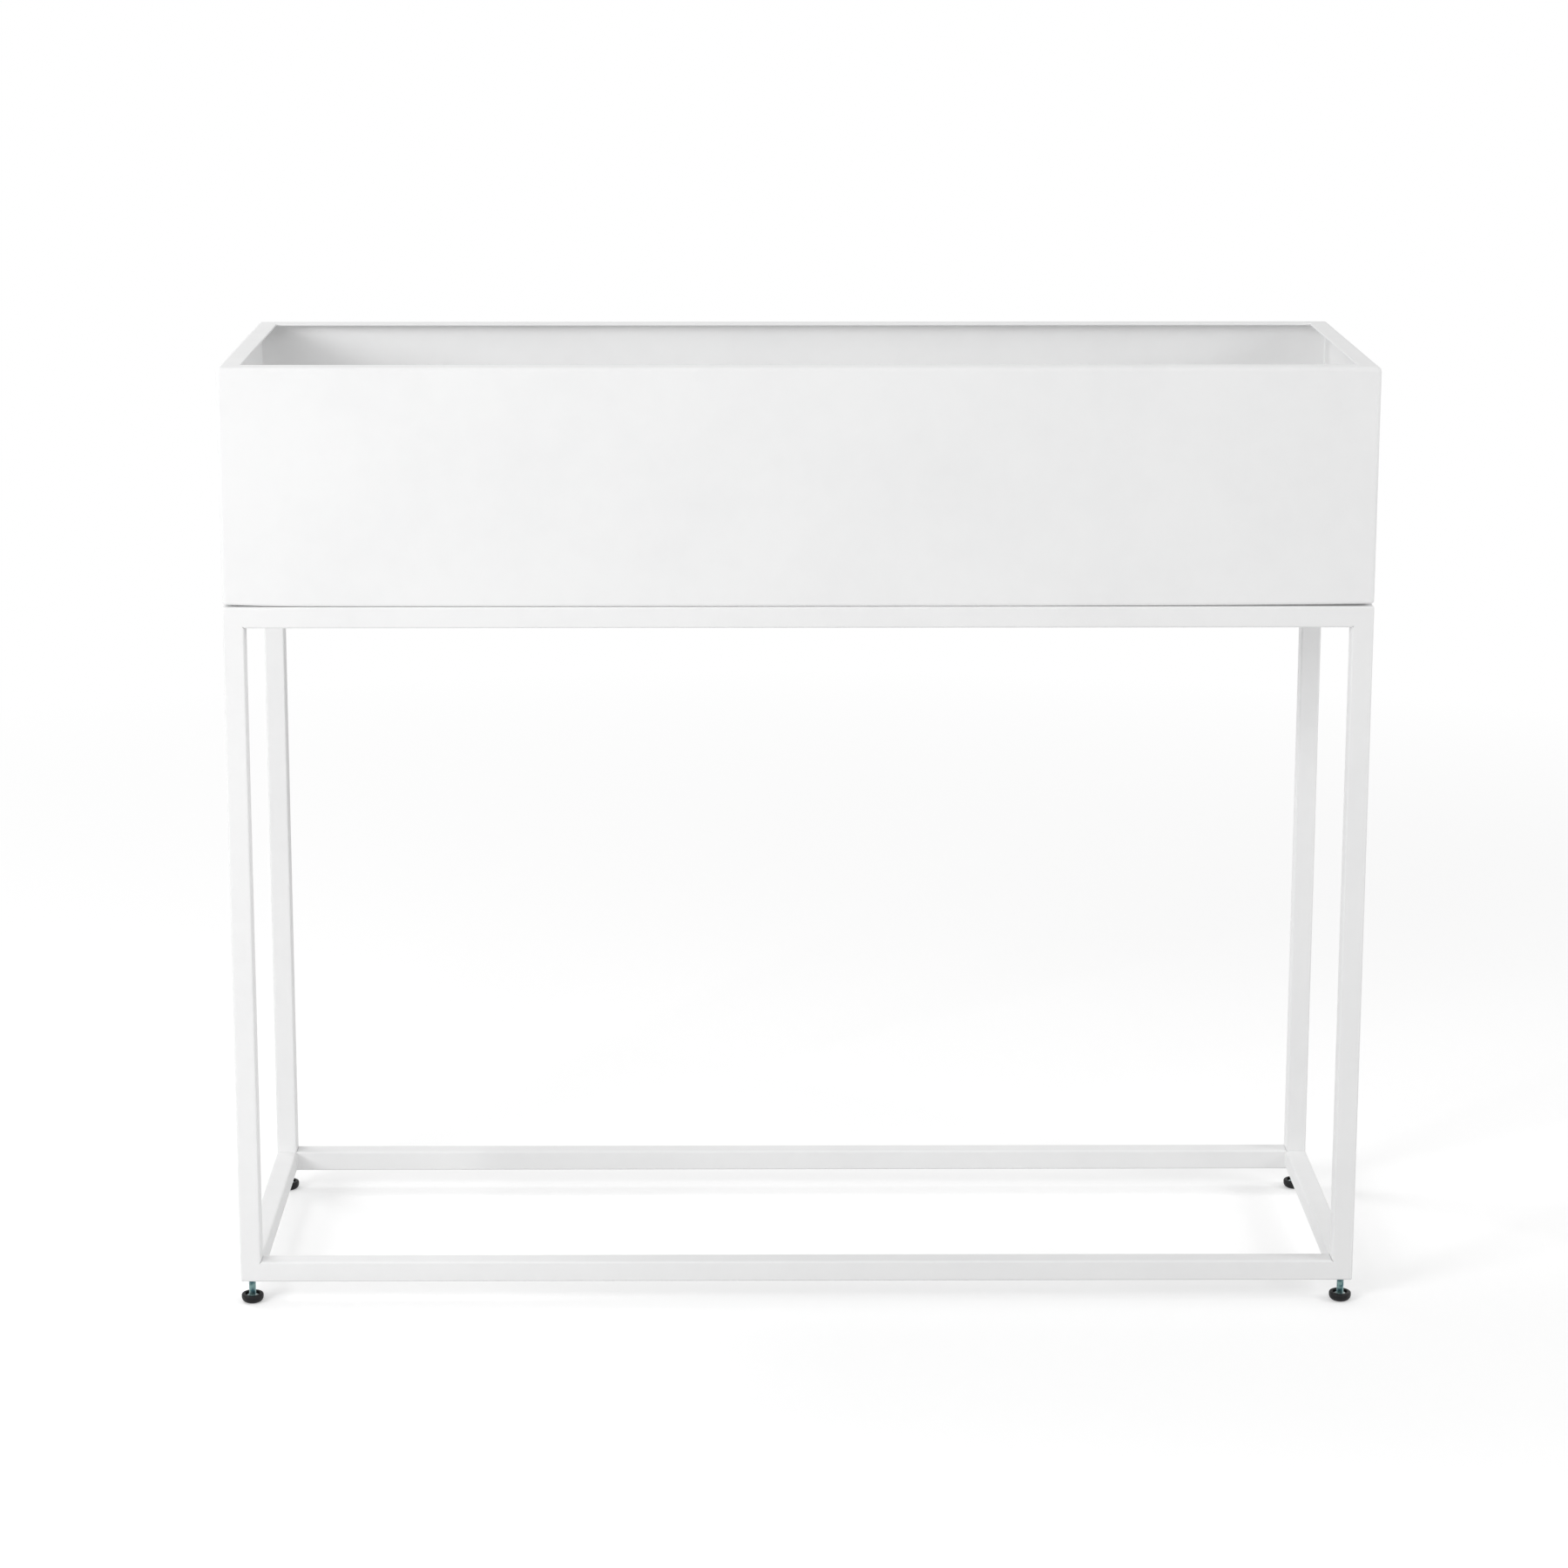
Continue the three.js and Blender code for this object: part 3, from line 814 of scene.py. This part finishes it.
def base_profile(sizes, height):
    """(radius, height) points of the base, from its sole round to the pocket's floor."""
    widest = height * WIDEST
    flare = sizes.radius - sizes.flat_radius
    bend = (flare ** 2 + widest ** 2) / (2 * flare)
    centre = (sizes.radius - bend, widest)
    sole = math.degrees(math.atan2(-widest, sizes.flat_radius - centre[0]))
    edge = sizes.edge_radius
    lip_top = sizes.floor + sizes.pocket + sizes.lip
    lip = sizes.neck_radius + sizes.play
    pocket = sizes.head_radius + sizes.play
    soft = edge / 4
    yield sizes.flat_radius - edge, 0.0
    yield sizes.flat_radius - soft, 0.0
    yield from arc(centre, bend, sole * FLANK_START, 0, FLANK_STEPS)
    yield from arc((sizes.radius - edge, height - edge), edge, 0, 90, TOP_STEPS)
    yield from arc((sizes.hollow_radius + soft, height - soft), soft, 90, 180, SOFT_STEPS)
    yield from arc((sizes.hollow_radius - soft, lip_top + soft), -soft, 180, 90, SOFT_STEPS)
    yield from arc((lip + soft, lip_top - soft), soft, 90, 180, SOFT_STEPS)
    yield lip, lip_top - sizes.lip
    yield pocket, lip_top - sizes.lip
    yield pocket, sizes.floor


def thread_mesh(radius, pitch, bottom, top, centre, facets):
    """An outside thread: rings that climb one pitch in a turn and end flat at the top."""
    depth = pitch * THREAD_DEPTH
    count = len(THREAD_SECTION)
    turns = int((top - bottom) / pitch)
    mesh = bmesh.new()
    rows = []
    for ring in range(turns * count):
        turn, part = divmod(ring, count)
        share, crest = THREAD_SECTION[part]
        row = []
        for i in range(facets):
            angle = math.tau * i / facets
            z = bottom + pitch * (turn + share + i / facets)
            fade = min(1.0, max(0.0, (top - z) / pitch))
            reach = radius - depth + depth * crest * fade
            x, y = reach * math.cos(angle), reach * math.sin(angle)
            row.append(mesh.verts.new((centre[0] + x, centre[1] + y, min(z, top))))
        rows.append(row)
    for ring in range(len(rows) - 1):
        for i in range(facets):
            if i + 1 < facets:
                near, far = rows[ring][i + 1], rows[ring + 1][i + 1]
            elif ring + count + 1 < len(rows):
                near, far = rows[ring + count][0], rows[ring + count + 1][0]
            else:
                continue
            mesh.faces.new((rows[ring][i], near, far, rows[ring + 1][i]))
    bmesh.ops.recalc_face_normals(mesh, faces=mesh.faces[:])
    return mesh


def hexagon_mesh(across, bottom, top, centre, facets):
    """A hexagon with its corners chamfered at both ends."""
    flat = across * CHAMFER_CIRCLE
    corner = across / math.sqrt(3)
    drop = (corner - flat) * math.tan(math.radians(CHAMFER_SLOPE))
    side = hexagon(across, facets)
    loops = [level(circle(flat, facets), bottom, centre)]
    for base, sign in ((bottom, 1), (top, -1)):
        ring = []
        for x, y in side:
            share = max(0.0, math.hypot(x, y) - flat) / (corner - flat)
            ring.append((centre[0] + x, centre[1] + y, base + sign * drop * share))
        loops.append(ring)
    loops.append(level(circle(flat, facets), top, centre))
    return skin(loops, start=True, end=True)


def stud_mesh(sizes, node):
    """Head, neck, hexagon and thread of a levelling stud."""
    low, high = extent(node)
    centre = middle(node).xy
    head_top = low.z + sizes.pocket - 2 * sizes.play
    bottom, top = sizes.hexagon_bottom, sizes.hexagon_top
    core = sizes.stud_radius - CORE_DEPTH * sizes.pitch
    soft = sizes.play
    shaft = (
        (sizes.head_radius - soft, low.z), (sizes.head_radius, low.z + soft),
        (sizes.head_radius, head_top - soft), (sizes.head_radius - soft, head_top),
        (sizes.neck_radius, head_top), (sizes.neck_radius, bottom + soft),
        (core, bottom + soft), (core, high.z - soft), (core - soft, high.z),
    )
    thread_bottom = top - sizes.pitch
    return joined([
        turned(shaft, centre, STUD_FACETS),
        hexagon_mesh(sizes.hexagon, bottom, top, centre, HEXAGON_FACETS),
        thread_mesh(
            sizes.stud_radius, sizes.pitch, thread_bottom, high.z, centre, THREAD_FACETS,
        ),
    ])


class PLANTER_OT_foot_bases(bpy.types.Operator):
    """Makes the black plastic bases of the levelling feet"""

    bl_idname = "planter.foot_bases"
    bl_label = "Foot bases"

    def execute(self, context):
        sizes = settings().foot
        plastic = black_plastic()
        for corner in CORNERS:
            node = f"foot_base_{corner}"
            profile = list(base_profile(sizes, width(node, 2)))
            mesh = turned(profile, middle(node).xy, settings().facets)
            piece(f"levelling_base_{corner}", mesh, plastic, node, [node])
        return {"FINISHED"}


class PLANTER_OT_foot_studs(bpy.types.Operator):
    """Makes the threaded studs of the levelling feet"""

    bl_idname = "planter.foot_studs"
    bl_label = "Foot studs"

    def execute(self, context):
        zinc = zinc_plate()
        for corner in CORNERS:
            node = f"foot_stud_{corner}"
            mesh = stud_mesh(settings().foot, node)
            piece(f"levelling_stud_{corner}", mesh, zinc, node, [node], SHARP_METAL)
        return {"FINISHED"}


# ---------------------------------------------------------------- fixings


def screw_mesh(sizes, node):
    """Button-head screw that points up, with a hexagon socket in its head."""
    low, high = extent(node)
    centre = middle(node).xy
    facets = SCREW_FACETS
    seat = low.z + sizes.head_height
    socket = hexagon(sizes.socket, facets)
    rim = sizes.socket * SOCKET_RIM
    loops = [
        level(socket, low.z + sizes.socket_depth, centre),
        level(socket, low.z + sizes.socket_chamfer, centre),
        level(circle(rim, facets), low.z, centre),
    ]
    for radius, height in arc((0.0, 0.0), 1.0, *HEAD_ARC):
        reach = max(rim, sizes.head_radius * radius)
        loops.append(level(circle(reach, facets), seat + sizes.head_height * height, centre))
    soft = sizes.head_height / 12
    for radius, z in (
        (sizes.head_radius, seat - soft), (sizes.head_radius - soft, seat),
        (sizes.screw_radius, seat), (sizes.screw_radius, high.z - soft * 3),
        (sizes.screw_radius - soft * 3, high.z),
    ):
        loops.append(level(circle(radius, facets), z, centre))
    return skin(loops, start=True, end=True)


def rivet_nut_mesh(sizes, node):
    """Rivet nut as set: flange under the sheet, upset collar and closed end above the floor."""
    low, high = extent(node)
    centre = middle(node).xy
    sheet = low.z + sizes.flange
    collar = sheet + 2 * settings().box.sheet
    sleeve = sizes.sleeve_radius
    bulge = sizes.bulge_radius
    soft = sizes.collar_edge
    radii = (bulge - soft, bulge, bulge - soft, sleeve + soft, sleeve)
    dome = sizes.dome
    edge = sizes.flange_edge
    profile = [
        (sizes.flange_radius - edge, low.z), (sizes.flange_radius, low.z + edge),
        (sizes.flange_radius, sheet - edge), (sizes.flange_radius - edge, sheet),
        (sleeve, sheet), (sleeve, collar),
        *((radius, collar + height) for radius, height in zip(radii, COLLAR_HEIGHTS)),
        *arc((sleeve - dome, high.z - dome), dome, 0, 90, DOME_STEPS),
    ]
    return turned(profile, centre, NUT_FACETS)


class PLANTER_OT_fixings(bpy.types.Operator):
    """Makes the screws and rivet nuts that hold the box, and plates the weld nuts"""

    bl_idname = "planter.fixings"
    bl_label = "Fixings"

    def execute(self, context):
        sizes = settings().fixing
        zinc = zinc_plate()
        for corner in CORNERS:
            node = f"box_screw_{corner}"
            mesh = screw_mesh(sizes, node)
            piece(
                f"button_screw_{corner}", mesh, zinc, "planter", [node], SHARP_METAL,
            )
            node = f"rivet_nut_{corner}"
            mesh = rivet_nut_mesh(sizes, node)
            piece(
                f"rivet_sleeve_{corner}", mesh, zinc, "planter", [node], SHARP_METAL,
            )
            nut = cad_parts[f"weld_nut_{corner}"]
            nut.data.materials.clear()
            nut.data.materials.append(zinc)
        return {"FINISHED"}


# ---------------------------------------------------------------- stage


def seen(shader):
    """1 for what the camera sees, straight or in gloss and glass, and 0 for light on things."""
    path = "ShaderNodeLightPath"
    camera = shader.node(path, output="Is Camera Ray")
    glossy = shader.node(path, output="Is Glossy Ray")
    clear = shader.node(path, output="Is Transmission Ray")
    return camera.higher(glossy).higher(clear)


def floor_material(sizes):
    """Pale floor that keeps the shadow near the planter and turns plain white further out."""
    floor = material("stage_floor")
    from_middle = floor.node(
        "ShaderNodeVectorMath", {"operation": "LENGTH"}, {0: floor.place()}, "Value",
    )
    away = from_middle.between(sizes.fade_start, sizes.fade_end)
    pale = floor.node(
        "ShaderNodeBsdfDiffuse", {}, {"Color": rgba(sizes.floor_colour), "Roughness": 0.0},
    )
    glow, nothing, white = (
        floor.node("ShaderNodeEmission", {}, {"Color": rgba((1.0, 1.0, 1.0)), "Strength": strength})
        for strength in (sizes.floor_glow, 0.0, 1.0)
    )
    visible = seen(floor)
    lift = floor.node("ShaderNodeMixShader", {}, {0: visible, 1: nothing, 2: glow})
    near = floor.node("ShaderNodeAddShader", {}, {0: pale, 1: lift})
    whole = floor.node("ShaderNodeMixShader", {}, {0: away * visible, 1: near, 2: white})
    floor.node("ShaderNodeOutputMaterial", {}, {"Surface": whole})
    return floor.owner


def add_floor(sizes):
    mesh = bmesh.new()
    bmesh.ops.create_grid(mesh, x_segments=8, y_segments=8, size=sizes.floor_radius)
    data = bpy.data.meshes.new("stage_floor")
    mesh.to_mesh(data)
    mesh.free()
    data.materials.append(floor_material(sizes))
    floor = bpy.data.objects.new("stage_floor", data)
    floor.location.z = -sizes.floor_gap
    bpy.context.scene.collection.objects.link(floor)


def add_sky(sizes):
    """Even light from all round, which the camera sees as white."""
    world = bpy.data.worlds.new("studio")
    bpy.context.scene.world = world
    sky = Shader(world)
    grey = (sizes.sky, sizes.sky, sizes.sky, 1.0)
    shade = sky.blend(seen(sky), grey, (1.0, 1.0, 1.0, 1.0))
    light = sky.node("ShaderNodeBackground", {}, {"Color": shade, "Strength": 1.0})
    sky.node("ShaderNodeOutputWorld", {}, {"Surface": light})


def add_lamp(name, place, aim, size, power):
    """A square area lamp that points at a place."""
    data = bpy.data.lights.new(name, "AREA")
    data.shape = "SQUARE"
    data.size = size
    data.energy = power
    lamp = bpy.data.objects.new(name, data)
    lamp.location = place
    lamp.rotation_euler = (Vector(aim) - Vector(place)).to_track_quat("-Z", "Y").to_euler()
    bpy.context.scene.collection.objects.link(lamp)


def add_camera(sizes):
    data = bpy.data.cameras.new("camera")
    data.sensor_width = SENSOR
    data.lens = sizes.lens
    data.shift_x = sizes.shift_x
    data.shift_y = sizes.shift_y
    camera = bpy.data.objects.new("camera", data)
    camera.location = sizes.camera_place
    camera.rotation_euler = Euler((math.pi / 2 - sizes.camera_tilt, 0.0, -sizes.camera_turn))
    bpy.context.scene.collection.objects.link(camera)
    bpy.context.scene.camera = camera


class PLANTER_OT_stage(bpy.types.Operator):
    """Makes the floor, the surrounding light, the lamps and the camera"""

    bl_idname = "planter.stage"
    bl_label = "Stage"

    def execute(self, context):
        sizes = settings().stage
        add_floor(sizes)
        add_sky(sizes)
        for name, (place, aim, size) in LAMPS.items():
            add_lamp(f"{name}_lamp", place, aim, size, getattr(sizes, f"{name}_power"))
        add_camera(sizes)
        context.scene.view_settings.view_transform = "Standard"
        return {"FINISHED"}


# ---------------------------------------------------------------- panel and run


class PLANTER_PT_panel(bpy.types.Panel):
    """Lists the planter's settings and makers"""

    bl_idname = "PLANTER_PT_panel"
    bl_label = "Raised planter"
    bl_space_type = "VIEW_3D"
    bl_region_type = "UI"
    bl_category = "Planter"

    def draw(self, context):
        planter = context.scene.planter
        self.layout.prop(planter, "facets")
        for part in ("box", "stand", "foot", "fixing", "finish", "stage"):
            group = getattr(planter, part)
            column = self.layout.column(heading=part.capitalize())
            for name in group.__annotations__:
                column.prop(group, name)
        for maker in MAKERS:
            self.layout.operator(maker.bl_idname)


MAKERS = (
    PLANTER_OT_stage,
    PLANTER_OT_box,
    PLANTER_OT_floor,
    PLANTER_OT_stand,
    PLANTER_OT_foot_bases,
    PLANTER_OT_foot_studs,
    PLANTER_OT_fixings,
)
GROUPS = (BoxSizes, StandSizes, FootSizes, FixingSizes, Finishes, StageSizes, PlanterSettings)


def register():
    for group in (*GROUPS, *MAKERS, PLANTER_PT_panel):
        bpy.utils.register_class(group)
    bpy.types.Scene.planter = PointerProperty(type=PlanterSettings)


def unregister():
    del bpy.types.Scene.planter
    for group in reversed((*GROUPS, *MAKERS, PLANTER_PT_panel)):
        bpy.utils.unregister_class(group)


def main():
    register()
    for maker in MAKERS:
        group, name = maker.bl_idname.split(".")
        getattr(getattr(bpy.ops, group), name)()


if __name__ == "__main__":
    main()
